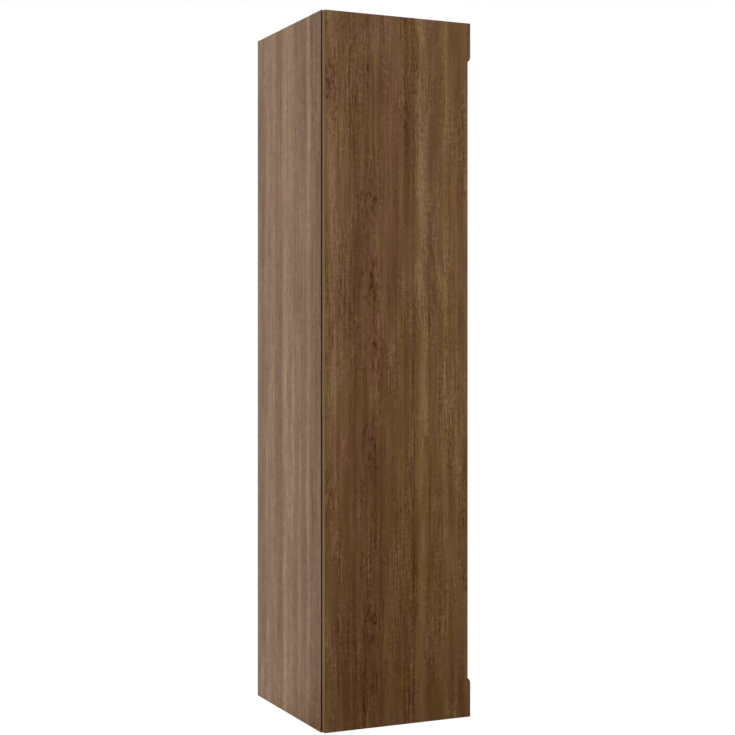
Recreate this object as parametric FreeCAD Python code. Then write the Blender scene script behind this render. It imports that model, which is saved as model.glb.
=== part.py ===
import FreeCAD
import Part
import math
import os

# A tall wall-hung bathroom cabinet with one full-height handleless door, in millimetres.
# X runs to the right, Y towards the wall and Z up. The origin lies under the middle of the whole
# cabinet, level with the underside of its side panels. The door is hinged on the left.

V = FreeCAD.Vector
RIGHT = V(1, 0, 0)
LEFT = V(-1, 0, 0)
BACK = V(0, 1, 0)
FORWARD = V(0, -1, 0)
UP = V(0, 0, 1)

# Carcass: faced boards with a thin band on every front edge
CARCASS_WIDTH = 400.0
CARCASS_HEIGHT = 1750.0
CARCASS_DEPTH = 433.0
BOARD = 18.0
EDGE_BAND = 1.0

# Play between pieces, and how far a cutter reaches past the face that it enters
FIT = 0.05
BLIND_END_PLAY = 1.0
OVERRUN = 1.0

# Back panel, held in a groove that runs round the carcass
BACK_THICKNESS = 3.0
GROOVE_DEPTH = 7.0
GROOVE_SIDE_PLAY = 0.1
GROOVE_END_PLAY = 0.5

# Shelves: one fixed in the middle, the others loose on pins
SHELF_COUNT = 5
SHELF_SETBACK = 20.0
SHELF_SIDE_PLAY = 1.0
SHELF_BACK_PLAY = 1.0
SHELF_NAMES = ("lower", "lower_middle", "fixed", "upper_middle", "upper")
FIXED_SHELF = SHELF_COUNT // 2

# Rows of holes in the side panels, and the pins that carry the loose shelves
ROW_SETBACK = 37.0
ROW_PITCH = 32.0
ROW_STEPS = (-2, -1, 0, 1, 2)
PIN_RADIUS = 2.5
PIN_DEPTH = 9.0
PIN_LUG_LENGTH = 8.0
PIN_LUG_WIDTH = 10.0
PIN_LUG_THICKNESS = 2.5
PIN_WEB_THICKNESS = 3.0

# Dowels and cam fittings that join the level boards to the side panels
DOWEL_RADIUS = 4.0
DOWEL_LENGTH = 30.0
DOWEL_DEPTH_IN_SIDE = 10.0
DOWEL_FROM_CAM = 32.0
CAM_RADIUS = 7.5
CAM_HEIGHT = 14.0
CAM_REACH = 24.0
CAM_FROM_EDGE = 60.0
CAM_POCKET_PLAY = 0.3
CAM_SLOT_WIDTH = 1.6
CAM_SLOT_LENGTH = 9.0
CAM_SLOT_DEPTH = 3.0
BOLT_THREAD_RADIUS = 2.5
BOLT_THREAD_LENGTH = 11.0
BOLT_SHAFT_RADIUS = 2.0
BOLT_HEAD_RADIUS = 3.4
BOLT_HEAD_LENGTH = 4.0
BOLT_BORE_RADIUS = 4.0

# Rail behind the back panel, screwed to the wall at the bottom
RAIL_HEIGHT = 80.0
RAIL_HOLE_RADIUS = 3.0
RAIL_HOLE_SPACING = 250.0
RAIL_DOWEL_SPACING = 40.0

# Hangers in the upper rear corners: a housing, a hook, and screws
HANGER_WIDTH = 20.0
HANGER_HEIGHT = 60.0
HANGER_LENGTH = 50.0
HANGER_TOP_GAP = 2.0
HANGER_CORNER_RADIUS = 2.0
HOOK_THICKNESS = 3.0
HOOK_FROM_SIDE = 4.0
HOOK_BAR_HEIGHT = 12.0
HOOK_BAR_RISE = 30.0
HOOK_TAIL = 36.0
HOOK_PLAY = 0.2
HOOK_TONGUE = 3.5
HOOK_TONGUE_DROP = 9.0
HOOK_WALL_GAP = 1.5
HOOK_SLOT_PLAY = 1.5
ADJUSTER_RADIUS = 3.0
ADJUSTER_LENGTH = 22.0
ADJUSTER_FROM_SIDE = 13.0
ADJUSTER_RISES = (16.0, 50.0)
ADJUSTER_SLOT_WIDTH = 1.2
ADJUSTER_SLOT_DEPTH = 2.0
HANGER_SCREW_RADIUS = 2.0
HANGER_SCREW_HEAD_RADIUS = 3.8
HANGER_SCREW_HEAD_HEIGHT = 2.4
HANGER_SCREW_DEPTH_IN_SIDE = 11.0
HANGER_SCREW_FROM_BACK = 14.0
HANGER_SCREW_FROM_END = 9.0

# Steel plates on the wall, which the hooks hang on
WALL_PLATE_LENGTH = 60.0
WALL_PLATE_THICKNESS = 2.0
WALL_PLATE_HEIGHT = 46.0
WALL_PLATE_STEP = 11.0
WALL_PLATE_LIP = 14.0
WALL_PLATE_SIDE_GAP = 1.0
WALL_HOLE_RADIUS = 3.25
WALL_HOLE_SPACING = 38.0
WALL_HOLE_FROM_BOTTOM = 15.0

# Door: one board, with a finger pull cut into its right edge between two full-width ears
DOOR_THICKNESS = 16.0
DOOR_GAP = 6.0
DOOR_SIDE_REVEAL = 1.0
DOOR_END_REVEAL = 3.0
DOOR_ARRIS_RADIUS = 1.2
PULL_EAR = 84.0
PULL_DEPTH = 7.5
PULL_END_RADIUS = 16.0
PULL_LIP = 6.0
PULL_BACK_DEPTH = 16.0
PULL_BACK_END_RADIUS = 26.0
PULL_BACK_SHIFT = 8.0
BUMPER_RADIUS = 4.0
BUMPER_PLAY = 0.3
BUMPER_ROUND = 1.2
BUMPER_FROM_SIDE = 9.0
BUMPER_FROM_END = 40.0

# Concealed cup hinges, each with one pivot: places, then cup, pin and spring
HINGE_NAMES = ("bottom", "lower", "upper", "top")
HINGE_FROM_DOOR_END = 100.0
HINGE_FROM_MIDDLE = 190.0
PIVOT_FROM_EDGE = 8.0
PIVOT_DEPTH = 8.0
PIVOT_RADIUS = 1.5
PIVOT_LENGTH = 18.0
PIVOT_PLAY = 0.05
CUP_FROM_EDGE = 4.0
CUP_RADIUS = 17.5
CUP_DEPTH = 12.5
CUP_RIM = 1.0
CUP_WALL = 1.2
CUP_FLANGE_THICKNESS = 1.5
CUP_FLANGE_LENGTH = 60.0
CUP_FLANGE_WIDTH = 18.0
CUP_FLANGE_CORNER = 5.0
CUP_SCREW_SPACING = 48.0
CUP_SCREW_OFFSET = 6.0
CUP_SCREW_RADIUS = 1.8
CUP_SCREW_LENGTH = 12.0
CUP_SCREW_HEAD_RADIUS = 3.4
CUP_SCREW_HEAD_HEIGHT = 1.6
POCKET_PLAY = 0.4
POCKET_END_PLAY = 1.2
SPRING_THICKNESS = 0.6
SPRING_WIDTH = 6.0
SPRING_FROM_PIVOT = 5.0
SPRING_END_PLAY = 2.0

# Hinge arm: a channel on its plate, drawn out into a bent neck that reaches the pivot
ARM_WIDTH = 18.0
ARM_WALL = 1.8
ARM_DEPTH = 7.5
ARM_FRONT = 7.0
ARM_LENGTH = 59.0
NECK_THICKNESS = 3.0
NECK_WIDTH = 8.4
NECK_BEND = 5.0
NECK_SHOULDER = 6.0
EYE_RADIUS = 2.4

# Hinge plate: wings with two screws into the side panel, and a pedestal for the arm
PLATE_THICKNESS = 2.0
PLATE_HEIGHT = 12.0
PLATE_WING_SPAN = 44.0
PLATE_WING_WIDTH = 16.0
PLATE_WING_CORNER = 4.0
PLATE_LENGTH = 40.0
PEDESTAL_PLAY = 0.5
PLATE_SCREW_RADIUS = 2.0
PLATE_SCREW_DEPTH = 12.0
PLATE_SCREW_HEAD_RADIUS = 3.8
PLATE_SCREW_HEAD_HEIGHT = 2.2
ARM_SCREW_RADIUS = 2.5
ARM_SCREW_DEPTH = 8.0
ARM_SCREW_HEAD_RADIUS = 4.0
ARM_SCREW_HEAD_HEIGHT = 2.2
ARM_SCREW_SPACING = 20.0

# Screw recess: a cross as wide as a share of the head, in every screw head
RECESS_LENGTH_SHARE = 1.2
RECESS_WIDTH_SHARE = 0.3
RECESS_DEPTH_SHARE = 0.6

# Places worked out from the sizes above
X_OUT = CARCASS_WIDTH / 2
X_IN = X_OUT - BOARD
TOTAL_DEPTH = CARCASS_DEPTH + DOOR_GAP + DOOR_THICKNESS
Y_REAR = TOTAL_DEPTH / 2
Y_FRONT = Y_REAR - CARCASS_DEPTH
Y_BOARD = Y_FRONT + EDGE_BAND
Y_DOOR_BACK = Y_FRONT - DOOR_GAP
Y_DOOR_FRONT = Y_DOOR_BACK - DOOR_THICKNESS
Y_BACK = Y_REAR - BOARD - BACK_THICKNESS
X_DOOR = X_OUT - DOOR_SIDE_REVEAL
Z_TOP_BOARD = CARCASS_HEIGHT - BOARD
SIDES = {"left": -1, "right": 1}

SHELF_CLEAR = (Z_TOP_BOARD - BOARD - SHELF_COUNT * BOARD) / (SHELF_COUNT + 1)
SHELF_HEIGHTS = [BOARD + SHELF_CLEAR + i * (SHELF_CLEAR + BOARD) for i in range(SHELF_COUNT)]
ROW_PLACES = (Y_FRONT + ROW_SETBACK, Y_BACK - SHELF_BACK_PLAY - ROW_SETBACK)
CAM_PLACES = ((Y_BOARD + CAM_FROM_EDGE, 1), (Y_BACK - CAM_FROM_EDGE, -1))

HANGER_TOP = Z_TOP_BOARD - HANGER_TOP_GAP
HANGER_BOTTOM = HANGER_TOP - HANGER_HEIGHT
HOOK_LEVEL = HANGER_BOTTOM + HOOK_BAR_RISE
WALL_PLATE_BOTTOM = HOOK_LEVEL - WALL_PLATE_HEIGHT
WALL_PLATE_MIDDLE = X_IN - WALL_PLATE_SIDE_GAP - WALL_PLATE_LENGTH / 2
RAIL_MIDDLE = BOARD + RAIL_HEIGHT / 2

DOOR_BOTTOM = DOOR_END_REVEAL
DOOR_TOP = CARCASS_HEIGHT - DOOR_END_REVEAL
HINGE_HEIGHTS = (
    DOOR_BOTTOM + HINGE_FROM_DOOR_END,
    CARCASS_HEIGHT / 2 - HINGE_FROM_MIDDLE,
    CARCASS_HEIGHT / 2 + HINGE_FROM_MIDDLE,
    DOOR_TOP - HINGE_FROM_DOOR_END,
)
X_PIVOT = -X_DOOR + PIVOT_FROM_EDGE
Y_PIVOT = Y_DOOR_BACK - PIVOT_DEPTH
X_CUP = -X_DOOR + CUP_FROM_EDGE + CUP_RADIUS
X_CUP_SCREW = X_CUP + CUP_SCREW_OFFSET
X_PLATE_TOP = -X_IN + PLATE_HEIGHT
X_ARM_TOP = X_PLATE_TOP + ARM_WALL
X_POCKET = (-X_DOOR + CUP_FROM_EDGE + CUP_WALL, X_ARM_TOP + POCKET_END_PLAY)
Y_POCKET_FLOOR = Y_PIVOT - EYE_RADIUS - POCKET_PLAY
Y_PLATE = Y_FRONT + ROW_SETBACK
Y_ARM = Y_FRONT + ARM_FRONT


def block(xs, ys, zs):
    """A box between two places on each axis, given in either order."""
    low = V(min(xs), min(ys), min(zs))
    high = V(max(xs), max(ys), max(zs))
    size = high - low
    return Part.makeBox(size.x, size.y, size.z, low)


def rod(start, along, radius, length):
    """A round bar from a point, along a direction."""
    return Part.makeCylinder(radius, length, start, along)


def hole(mouth, into, radius, depth):
    """A cutter for a round hole of a given depth, which starts just outside the hole's mouth."""
    return rod(mouth - into * OVERRUN, into, radius, depth + OVERRUN)


def about(middle, size):
    """The two ends of a size that lies evenly about a place."""
    return (middle - size / 2, middle + size / 2)


def prism(points, along):
    """A flat outline with straight sides, drawn out along a vector."""
    return Part.Face(Part.makePolygon(points + points[:1])).extrude(along)


def cut(solid, tools):
    """The solid with all the tools cut out of it."""
    return solid.cut(Part.makeCompound(tools))


def fuse(first, *others):
    """One solid out of several, without the seams between them."""
    return first.multiFuse(list(others)).removeSplitter()


def rounded_plate(xs, ys, zs, radius):
    """A plate that lies square to X or Y, with its four corners rounded."""
    plate = block(xs, ys, zs)
    thin_in_x = abs(xs[1] - xs[0]) < abs(ys[1] - ys[0])
    through = RIGHT if thin_in_x else BACK
    corners = [e for e in plate.Edges if abs(e.tangentAt(e.FirstParameter) * through) > 0.5]
    return plate.makeFillet(radius, corners)


def screw(seat, into, shank_radius, shank_length, head_radius, head_height):
    """A screw whose head stands on a seat, with a cross recess in the head."""
    out = V(0, 0, 0) - into
    head_top = seat + out * head_height
    side = UP if abs(into * UP) < 0.5 else RIGHT
    across = into.cross(side)
    depth = head_height * RECESS_DEPTH_SHARE
    length = head_radius * RECESS_LENGTH_SHARE
    width = head_radius * RECESS_WIDTH_SHARE
    slots = []
    for a, b in ((side, across), (across, side)):
        corner = head_top - a * (length / 2) - b * (width / 2)
        outline = [corner, corner + a * length, corner + a * length + b * width, corner + b * width]
        slots.append(prism(outline, into * depth))
    body = fuse(rod(seat, out, head_radius, head_height), rod(seat, into, shank_radius, shank_length))
    return cut(body, slots)


def group(solids):
    """Like pieces that share one node and stay separate solids."""
    return Part.makeCompound(solids)


# Fixings that are shared by the boards that they join

def level_boards():
    """Height of each board that is fixed to the side panels, and the face its cams enter from."""
    return ((0, -1), (SHELF_HEIGHTS[FIXED_SHELF], -1), (Z_TOP_BOARD, 1))


def dowel_places():
    """Middle line of each dowel: its side, and its place in Y and Z."""
    places = []
    for side in SIDES.values():
        for bottom, face in level_boards():
            for y, inwards in CAM_PLACES:
                places.append((side, y + inwards * DOWEL_FROM_CAM, bottom + BOARD / 2))
        for z in about(RAIL_MIDDLE, RAIL_DOWEL_SPACING):
            places.append((side, Y_REAR - BOARD / 2, z))
    return places


def dowel(side, y, z, play=0):
    """A dowel, or the hole for it where play is given."""
    end_play = BLIND_END_PLAY if play else 0
    start = V(side * (X_IN + DOWEL_DEPTH_IN_SIDE + end_play), y, z)
    return rod(start, RIGHT * -side, DOWEL_RADIUS + play, DOWEL_LENGTH + 2 * end_play)


def cam_places():
    """Each cam: its side, its place in Y, the board's underside and the face it enters from."""
    return [(side, y, bottom, face)
            for side in SIDES.values() for bottom, face in level_boards() for y, inwards in CAM_PLACES]


def cam_blank(side, y, bottom, face, play=0):
    """The round body of a cam, or the bore for it where play is given."""
    start = V(side * (X_IN - CAM_REACH), y, bottom + (BOARD if face > 0 else 0))
    into = UP * -face
    reach = OVERRUN if play else 0
    return rod(start - into * reach, into, CAM_RADIUS + play, CAM_HEIGHT + reach + play)


def cam_lock(side, y, bottom, face):
    """A cam with a pocket for the bolt's head and a cross slot in its face."""
    x = side * (X_IN - CAM_REACH)
    z = bottom + BOARD / 2
    pocket = 2 * (BOLT_HEAD_RADIUS + CAM_POCKET_PLAY)
    pocket_xs = (x - side * BOLT_HEAD_LENGTH, x + side * (CAM_RADIUS + OVERRUN))
    tools = [block(pocket_xs, about(y, pocket), about(z, pocket))]
    face_z = bottom + (BOARD if face > 0 else 0)
    slot_zs = (face_z + face * OVERRUN, face_z - face * CAM_SLOT_DEPTH)
    tools.append(block(about(x, CAM_SLOT_LENGTH), about(y, CAM_SLOT_WIDTH), slot_zs))
    tools.append(block(about(x, CAM_SLOT_WIDTH), about(y, CAM_SLOT_LENGTH), slot_zs))
    return cut(cam_blank(side, y, bottom, face), tools)


def cam_bolt(side, y, bottom):
    """A bolt screwed into the side panel, with its head in the cam."""
    z = bottom + BOARD / 2
    inwards = RIGHT * -side
    at_side = V(side * X_IN, y, z)
    head = V(side * (X_IN - CAM_REACH + BOLT_HEAD_LENGTH / 2), y, z)
    shaft_length = CAM_REACH - BOLT_HEAD_LENGTH / 2
    return fuse(
        rod(at_side, RIGHT * side, BOLT_THREAD_RADIUS, BOLT_THREAD_LENGTH),
        rod(at_side, inwards, BOLT_SHAFT_RADIUS, shaft_length),
        rod(head, inwards, BOLT_HEAD_RADIUS, BOLT_HEAD_LENGTH),
    )


def bolt_holes_in_side(side):
    """The holes that the cam bolts are screwed into."""
    return [side_hole(side, y, bottom + BOARD / 2, BOLT_THREAD_RADIUS, BOLT_THREAD_LENGTH)
            for bottom, face in level_boards() for y, inwards in CAM_PLACES]


def joints_in_board(bottom, face):
    """All that is bored into one level board: dowel holes, cam bores and bolt bores."""
    tools = []
    for side in SIDES.values():
        for y, inwards in CAM_PLACES:
            z = bottom + BOARD / 2
            tools.append(dowel(side, y + inwards * DOWEL_FROM_CAM, z, FIT))
            tools.append(cam_blank(side, y, bottom, face, FIT))
            tools.append(hole(V(side * X_IN, y, z), RIGHT * -side, BOLT_BORE_RADIUS, CAM_REACH))
    return tools


# Carcass boards

def back_groove(xs, zs):
    """The groove for the back panel, over a stretch of a board."""
    ys = (Y_BACK - GROOVE_SIDE_PLAY, Y_BACK + BACK_THICKNESS + GROOVE_SIDE_PLAY)
    return block(xs, ys, zs)


def pin_holes(side):
    """The rows of holes beside each loose shelf."""
    return [side_hole(side, y, SHELF_HEIGHTS[i] - PIN_RADIUS + step * ROW_PITCH, PIN_RADIUS, PIN_DEPTH)
            for i in range(SHELF_COUNT) if i != FIXED_SHELF for y in ROW_PLACES for step in ROW_STEPS]


def side_hole(side, y, z, radius, depth):
    """A blind hole in a side panel's inner face, for a fixing of a given radius and depth."""
    return hole(V(side * X_IN, y, z), RIGHT * side, radius + FIT, depth + BLIND_END_PLAY)


def hanger_screw_places():
    """Place in Y and Z of the two screws that hold each hanger."""
    y = Y_BACK - HANGER_SCREW_FROM_BACK
    return [(y, HANGER_BOTTOM + HANGER_SCREW_FROM_END), (y, HANGER_TOP - HANGER_SCREW_FROM_END)]


def plate_screw_places():
    """Place in Y and Z of the two screws that hold each hinge plate."""
    return [(Y_PLATE, z) for height in HINGE_HEIGHTS for z in about(height, ROW_PITCH)]


def side_panel(side):
    """A full-height side panel with its groove and all its holes; the hinges are on the left one."""
    board = block((side * X_IN, side * X_OUT), (Y_BOARD, Y_REAR), (0, CARCASS_HEIGHT))
    groove_xs = (side * (X_IN - OVERRUN), side * (X_IN + GROOVE_DEPTH))
    tools = [back_groove(groove_xs, (BOARD - GROOVE_DEPTH, Z_TOP_BOARD + GROOVE_DEPTH))]
    tools += [dowel(*place, FIT) for place in dowel_places() if place[0] == side]
    tools += bolt_holes_in_side(side)
    tools += pin_holes(side)
    tools += [side_hole(side, *place, HANGER_SCREW_RADIUS, HANGER_SCREW_DEPTH_IN_SIDE)
              for place in hanger_screw_places()]
    if side == SIDES["left"]:
        tools += [side_hole(side, *place, PLATE_SCREW_RADIUS, PLATE_SCREW_DEPTH)
                  for place in plate_screw_places()]
    return cut(board, tools)


def end_board(bottom, face):
    """The top or bottom board, between the side panels."""
    board = block((-X_IN, X_IN), (Y_BOARD, Y_REAR), (bottom, bottom + BOARD))
    inner = bottom + BOARD if face < 0 else bottom
    groove_zs = (inner - face * OVERRUN, inner + face * GROOVE_DEPTH)
    groove = back_groove((-X_IN - OVERRUN, X_IN + OVERRUN), groove_zs)
    return cut(board, joints_in_board(bottom, face) + [groove])


def back_panel():
    """The thin back, with slots for the hooks and holes for the wall screws."""
    grip = GROOVE_DEPTH - GROOVE_END_PLAY
    xs = (-X_IN - grip, X_IN + grip)
    panel = block(xs, (Y_BACK, Y_BACK + BACK_THICKNESS), (BOARD - grip, Z_TOP_BOARD + grip))
    through = (Y_BACK - OVERRUN, Y_BACK + BACK_THICKNESS + OVERRUN)
    slots = [hook_passage(side, through, HOOK_SLOT_PLAY) for side in SIDES.values()]
    return cut(panel, slots + rail_holes())


def rail_holes():
    """The holes for the wall screws, through the back panel and the rail."""
    depth = Y_REAR - Y_BACK + OVERRUN
    return [hole(V(x, Y_BACK, RAIL_MIDDLE), BACK, RAIL_HOLE_RADIUS, depth)
            for x in about(0, RAIL_HOLE_SPACING)]


def wall_rail():
    """The rail that fills the space behind the back panel, just above the bottom board."""
    rail = block((-X_IN, X_IN), (Y_BACK + BACK_THICKNESS, Y_REAR), (BOARD, BOARD + RAIL_HEIGHT))
    return cut(rail, rail_holes() + [dowel(*place, FIT) for place in dowel_places()])


def shelf_board(index):
    """A shelf without its front band."""
    bottom = SHELF_HEIGHTS[index]
    fixed = index == FIXED_SHELF
    half = X_IN if fixed else X_IN - SHELF_SIDE_PLAY
    ys = (Y_BOARD + SHELF_SETBACK, Y_BACK - SHELF_BACK_PLAY)
    board = block((-half, half), ys, (bottom, bottom + BOARD))
    return cut(board, joints_in_board(bottom, -1)) if fixed else board


def front_band(xs, y, zs):
    """A band on the front edge of a board that starts at y."""
    return block(xs, (y - EDGE_BAND, y), zs)


def shelf_band(index):
    """The band on a shelf's front edge."""
    half = X_IN if index == FIXED_SHELF else X_IN - SHELF_SIDE_PLAY
    bottom = SHELF_HEIGHTS[index]
    return front_band((-half, half), Y_BOARD + SHELF_SETBACK, (bottom, bottom + BOARD))


def shelf_pin(side, y, shelf_bottom):
    """A pin with a flat lug that a shelf rests on, stiffened by a web under the lug."""
    z = shelf_bottom - PIN_RADIUS
    outer = side * X_IN
    inner = side * (X_IN - PIN_LUG_LENGTH)
    lug = block((outer, inner), about(y, PIN_LUG_WIDTH), (shelf_bottom - PIN_LUG_THICKNESS, shelf_bottom))
    web_y = y - PIN_WEB_THICKNESS / 2
    web_outline = [V(outer, web_y, z - PIN_RADIUS), V(outer, web_y, z), V(inner, web_y, z)]
    web = prism(web_outline, BACK * PIN_WEB_THICKNESS)
    return fuse(rod(V(outer, y, z), RIGHT * side, PIN_RADIUS, PIN_DEPTH), lug, web)


# Hangers and wall plates

def hook_passage(side, ys, play):
    """The space that a hook's bar takes up, with some play all round it."""
    xs = (side * (X_IN - HOOK_FROM_SIDE + play), side * (X_IN - HOOK_FROM_SIDE - HOOK_THICKNESS - play))
    return block(xs, ys, (HOOK_LEVEL - play, HOOK_LEVEL + HOOK_BAR_HEIGHT + play))


def hanger_housing(side):
    """The moulded housing in an upper rear corner, bored for the hook and the screws."""
    xs = (side * X_IN, side * (X_IN - HANGER_WIDTH))
    body = block(xs, (Y_BACK - HANGER_LENGTH, Y_BACK), (HANGER_BOTTOM, HANGER_TOP))
    shown_edges = [e for e in body.Edges if all(abs(v.X - xs[1]) < FIT for v in e.Vertexes)
                   and any(v.Y < Y_BACK - FIT for v in e.Vertexes)]
    body = body.makeFillet(HANGER_CORNER_RADIUS, shown_edges)
    tools = [hook_passage(side, (Y_BACK - HOOK_TAIL - HOOK_PLAY, Y_BACK + OVERRUN), HOOK_PLAY)]
    for rise in ADJUSTER_RISES:
        tools.append(adjuster_blank(side, rise, FIT))
    for y, z in hanger_screw_places():
        mouth = V(side * (X_IN - HANGER_WIDTH), y, z)
        tools.append(hole(mouth, RIGHT * side, HANGER_SCREW_RADIUS + FIT, HANGER_WIDTH + OVERRUN))
    return cut(body, tools)


def hanger_hook(side):
    """A flat steel hook: a bar from the housing through the back, and a tongue behind the plate's lip."""
    xs = (side * (X_IN - HOOK_FROM_SIDE), side * (X_IN - HOOK_FROM_SIDE - HOOK_THICKNESS))
    end = Y_REAR - WALL_PLATE_THICKNESS - HOOK_WALL_GAP
    bar = block(xs, (Y_BACK - HOOK_TAIL, end), (HOOK_LEVEL, HOOK_LEVEL + HOOK_BAR_HEIGHT))
    tongue = block(xs, (end - HOOK_TONGUE, end), (HOOK_LEVEL - HOOK_TONGUE_DROP, HOOK_LEVEL))
    return fuse(bar, tongue)


def adjuster_blank(side, rise, play=0):
    """The plain body of a hanger's adjusting screw, or the bore for it where play is given."""
    reach = OVERRUN if play else 0
    start = V(side * (X_IN - ADJUSTER_FROM_SIDE), Y_BACK - HANGER_LENGTH - reach, HANGER_BOTTOM + rise)
    return rod(start, BACK, ADJUSTER_RADIUS + play, ADJUSTER_LENGTH + reach + play)


def adjuster(side, rise):
    """A hanger's adjusting screw, flush with the housing, with a cross slot."""
    x = side * (X_IN - ADJUSTER_FROM_SIDE)
    y = Y_BACK - HANGER_LENGTH
    z = HANGER_BOTTOM + rise
    length = ADJUSTER_RADIUS * RECESS_LENGTH_SHARE
    ys = (y - OVERRUN, y + ADJUSTER_SLOT_DEPTH)
    slots = [block(about(x, length), ys, about(z, ADJUSTER_SLOT_WIDTH)),
             block(about(x, ADJUSTER_SLOT_WIDTH), ys, about(z, length))]
    return cut(adjuster_blank(side, rise), slots)


def hanger_screw(side, y, z):
    """A screw through the hanger's housing into the side panel."""
    seat = V(side * (X_IN - HANGER_WIDTH), y, z)
    return screw(seat, RIGHT * side, HANGER_SCREW_RADIUS, HANGER_WIDTH + HANGER_SCREW_DEPTH_IN_SIDE,
                 HANGER_SCREW_HEAD_RADIUS, HANGER_SCREW_HEAD_HEIGHT)


def wall_plate(side):
    """A steel plate bent twice, so that its lip stands off the wall, with two screw holes."""
    middle = side * WALL_PLATE_MIDDLE
    xs = about(middle, WALL_PLATE_LENGTH)
    step = HOOK_LEVEL - WALL_PLATE_LIP
    lip_front = Y_REAR - WALL_PLATE_STEP
    lip_back = lip_front + WALL_PLATE_THICKNESS
    base_front = Y_REAR - WALL_PLATE_THICKNESS
    plate = fuse(
        block(xs, (base_front, Y_REAR), (WALL_PLATE_BOTTOM, step)),
        block(xs, (lip_front, Y_REAR), (step - WALL_PLATE_THICKNESS, step)),
        block(xs, (lip_front, lip_back), (step - WALL_PLATE_THICKNESS, HOOK_LEVEL)),
    )
    z = WALL_PLATE_BOTTOM + WALL_HOLE_FROM_BOTTOM
    holes = [hole(V(x, base_front, z), BACK, WALL_HOLE_RADIUS, WALL_PLATE_THICKNESS + OVERRUN)
             for x in about(middle, WALL_HOLE_SPACING)]
    return cut(plate, holes)


# Door

def pull_outline(y, depth, radius, low, high):
    """The outline cut from the door's right edge at one depth of the board, with rounded ear corners."""
    run = math.sqrt(2 * radius * depth - depth * depth)
    turn = math.atan2(run, radius - depth) / 2
    edge = X_DOOR
    outside = edge + OVERRUN
    inside = edge - depth
    half_way = V(edge - radius + radius * math.cos(turn), y, radius * math.sin(turn))
    corners = [V(edge, y, low), V(inside, y, low + run), V(inside, y, high - run), V(edge, y, high)]
    lower_arc = Part.Arc(corners[0], V(half_way.x, y, low + half_way.z), corners[1])
    upper_arc = Part.Arc(corners[2], V(half_way.x, y, high - half_way.z), corners[3])
    outer = [V(outside, y, high), V(outside, y, low)]
    return Part.Wire([
        lower_arc.toShape(),
        Part.makeLine(corners[1], corners[2]),
        upper_arc.toShape(),
        Part.makeLine(corners[3], outer[0]),
        Part.makeLine(outer[0], outer[1]),
        Part.makeLine(outer[1], corners[0]),
    ])


def door_panel():
    """The door: a board with the finger pull, a rounded front arris, and bores for the hinges."""
    board = block((-X_DOOR, X_DOOR), (Y_DOOR_FRONT, Y_DOOR_BACK), (DOOR_BOTTOM, DOOR_TOP))
    low = DOOR_BOTTOM + PULL_EAR
    high = DOOR_TOP - PULL_EAR
    notch = Part.Face(pull_outline(Y_DOOR_FRONT, PULL_DEPTH, PULL_END_RADIUS, low, high))
    board = board.cut(notch.extrude(BACK * DOOR_THICKNESS))
    front_edges = [e for e in board.Edges if all(abs(v.Y - Y_DOOR_FRONT) < FIT for v in e.Vertexes)]
    board = board.makeFillet(DOOR_ARRIS_RADIUS, front_edges)
    low_behind = low - PULL_BACK_SHIFT
    high_behind = high + PULL_BACK_SHIFT
    bevel = Part.makeLoft([
        pull_outline(Y_DOOR_FRONT + PULL_LIP, PULL_DEPTH, PULL_END_RADIUS, low, high),
        pull_outline(Y_DOOR_BACK, PULL_BACK_DEPTH, PULL_BACK_END_RADIUS, low_behind, high_behind),
    ], True, True)
    tools = [bevel]
    screw_depth = CUP_SCREW_LENGTH - CUP_FLANGE_THICKNESS + BLIND_END_PLAY
    for height in HINGE_HEIGHTS:
        tools.append(hole(V(X_CUP, Y_DOOR_BACK, height), FORWARD, CUP_RADIUS, CUP_DEPTH + FIT))
        for z in about(height, CUP_SCREW_SPACING):
            tools.append(hole(V(X_CUP_SCREW, Y_DOOR_BACK, z), FORWARD, CUP_SCREW_RADIUS + FIT, screw_depth))
    return cut(board, tools)


def door_bumper(z):
    """A soft stud on the door's back that stops just short of the right side panel."""
    start = V(X_DOOR - BUMPER_FROM_SIDE, Y_DOOR_BACK, z)
    stud = rod(start, BACK, BUMPER_RADIUS, DOOR_GAP - BUMPER_PLAY)
    crown = [e for e in stud.Edges if all(v.Y > Y_DOOR_BACK + FIT for v in e.Vertexes)]
    return stud.makeFillet(BUMPER_ROUND, crown)


# Hinges, each given by the height of its middle

def pocket_ys():
    """From outside the flange to the floor of the cup's pocket."""
    return (Y_DOOR_BACK + CUP_FLANGE_THICKNESS + OVERRUN, Y_POCKET_FLOOR)


def hinge_cup(height):
    """The cup let into the door: a flange for its screws, a pocket for the neck and the pin's hole."""
    flange_front = Y_DOOR_BACK + CUP_FLANGE_THICKNESS
    ears = rounded_plate((X_CUP_SCREW - CUP_FLANGE_WIDTH / 2, X_CUP_SCREW + CUP_FLANGE_WIDTH / 2),
                         (Y_DOOR_BACK, flange_front), about(height, CUP_FLANGE_LENGTH), CUP_FLANGE_CORNER)
    body = fuse(
        rod(V(X_CUP, Y_DOOR_BACK, height), FORWARD, CUP_RADIUS - FIT, CUP_DEPTH),
        rod(V(X_CUP, Y_DOOR_BACK, height), BACK, CUP_RADIUS + CUP_RIM, CUP_FLANGE_THICKNESS),
        ears,
    )
    tools = [block(X_POCKET, pocket_ys(), about(height, NECK_WIDTH + 2 * POCKET_PLAY))]
    tools.append(rod(V(X_PIVOT, Y_PIVOT, height - CUP_RADIUS), UP, PIVOT_RADIUS + FIT, 2 * CUP_RADIUS))
    for z in about(height, CUP_SCREW_SPACING):
        mouth = V(X_CUP_SCREW, flange_front, z)
        tools.append(hole(mouth, FORWARD, CUP_SCREW_RADIUS + FIT, CUP_FLANGE_THICKNESS + OVERRUN))
    return cut(body, tools)


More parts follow.
